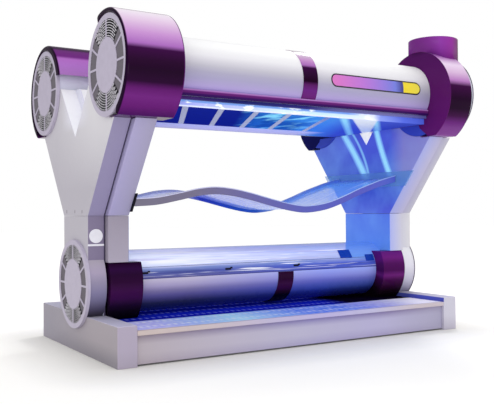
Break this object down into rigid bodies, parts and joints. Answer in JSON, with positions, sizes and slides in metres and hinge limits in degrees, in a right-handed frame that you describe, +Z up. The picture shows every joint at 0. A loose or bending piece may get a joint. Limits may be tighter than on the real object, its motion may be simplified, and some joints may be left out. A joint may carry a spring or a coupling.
{
  "type": "clamshell tanning bed",
  "caption": "Stand-up-frame tanning bed with a lamp platform, Y-shaped posts, a wavy clear bench and a lifting lamp canopy with end drums.",
  "frame": {"origin": "on the floor under the middle of the platform, on the underside of the middle foot", "axes": "+X along the bed towards the end with the exhaust collar, -Y towards the open front, +Z up"},
  "size_m": [2.7034, 1.788, 2.09],
  "materials": {
    "frame_steel": "satin powder coat",
    "foot_rubber": "matte",
    "white_panel": "smooth satin white",
    "deck_metal": "satin, perforated look",
    "nosing_plastic": "satin",
    "box_steel": "plain",
    "purple_gloss": "high gloss metallic purple",
    "grille_plastic": "satin",
    "clear_acrylic": "polished",
    "rail_acrylic": "polished, slightly milky",
    "black_plastic": "matte",
    "lamp_glass": "lit blue tube",
    "reflector_metal": "bright",
    "motor_metal": "painted",
    "bearing_steel": "machined",
    "badge_plastic": "glossy, coloured insert"
  },
  "bodies": {
    "stand": {"ballast_boxes": "box_steel", "base_feet": "foot_rubber", "base_frame": "frame_steel", "bench_bracket_left": "black_plastic", "bench_bracket_right": "clear_acrylic", "bench_rails": "rail_acrylic", "bench_sheet": "clear_acrylic", "deck_nosing": "nosing_plastic", "deck_plate": "deck_metal", "end_beam_left": "white_panel", "end_beam_right": "white_panel", "kick_panels": "white_panel", "lower_acrylic": "clear_acrylic", "lower_band": "purple_gloss", "lower_drum_casings": "white_panel", "lower_grilles": "grille_plastic", "lower_lampholders": "black_plastic", "lower_lamps": "lamp_glass", "lower_reflector": "reflector_metal", "lower_shell": "white_panel", "lower_shroud_left": "purple_gloss", "lower_shroud_right": "purple_gloss", "mains_box": "box_steel", "pivot_bearings": "bearing_steel", "post_badge": "grille_plastic", "post_core_left": "frame_steel", "post_core_right": "frame_steel", "post_inner_cover_left": "white_panel", "post_inner_cover_right": "white_panel", "post_outer_cover_left": "white_panel", "post_outer_cover_right": "white_panel", "rear_drum_casings": "white_panel", "rear_grille_left": "grille_plastic", "rear_grille_right": "grille_plastic", "rear_shroud_left": "purple_gloss", "rear_shroud_right": "purple_gloss", "stand_fan_motors": "motor_metal"},
    "canopy": {"front_tube": "white_panel", "canopy_band": "purple_gloss", "canopy_trim": "purple_gloss", "rear_tube": "white_panel", "canopy_tray": "white_panel", "canopy_lamps": "lamp_glass", "canopy_lampholders": "black_plastic", "canopy_acrylic": "clear_acrylic", "front_drum_casing_left": "white_panel", "front_drum_casing_right": "white_panel", "front_shroud_left": "purple_gloss", "front_shroud_right": "purple_gloss", "front_grille_left": "grille_plastic", "front_grille_right": "grille_plastic", "exhaust_collar": "purple_gloss", "tube_badge": "badge_plastic", "canopy_fan_motors": "motor_metal"},
    "front_fan_left": {"front_fan_rotor_left": "black_plastic"},
    "front_fan_right": {"front_fan_rotor_right": "black_plastic"},
    "lower_fan_left": {"lower_fan_rotor_left": "black_plastic"},
    "lower_fan_right": {"lower_fan_rotor_right": "black_plastic"},
    "rear_fan_left": {"rear_fan_rotor_left": "black_plastic"},
    "rear_fan_right": {"rear_fan_rotor_right": "black_plastic"}
  },
  "joints": [
    {"name": "canopy_lift", "type": "hinge", "parent": "stand", "child": "canopy", "pos_m": [0, 0.58, 1.673], "axis": [-1, 0, 0], "range_deg": [0, 35]},
    {"name": "front_fan_left_spin", "type": "hinge", "parent": "canopy", "child": "front_fan_left", "pos_m": [-1.2675, -0.58, 1.673], "axis": [1, 0, 0], "continuous": true},
    {"name": "front_fan_right_spin", "type": "hinge", "parent": "canopy", "child": "front_fan_right", "pos_m": [1.2675, -0.58, 1.673], "axis": [1, 0, 0], "continuous": true},
    {"name": "lower_fan_left_spin", "type": "hinge", "parent": "stand", "child": "lower_fan_left", "pos_m": [-1.2675, 0, 0.415], "axis": [1, 0, 0], "continuous": true},
    {"name": "lower_fan_right_spin", "type": "hinge", "parent": "stand", "child": "lower_fan_right", "pos_m": [1.2675, 0, 0.415], "axis": [1, 0, 0], "continuous": true},
    {"name": "rear_fan_left_spin", "type": "hinge", "parent": "stand", "child": "rear_fan_left", "pos_m": [-1.2675, 0.58, 1.673], "axis": [1, 0, 0], "continuous": true},
    {"name": "rear_fan_right_spin", "type": "hinge", "parent": "stand", "child": "rear_fan_right", "pos_m": [1.2675, 0.58, 1.673], "axis": [1, 0, 0], "continuous": true}
  ]
}
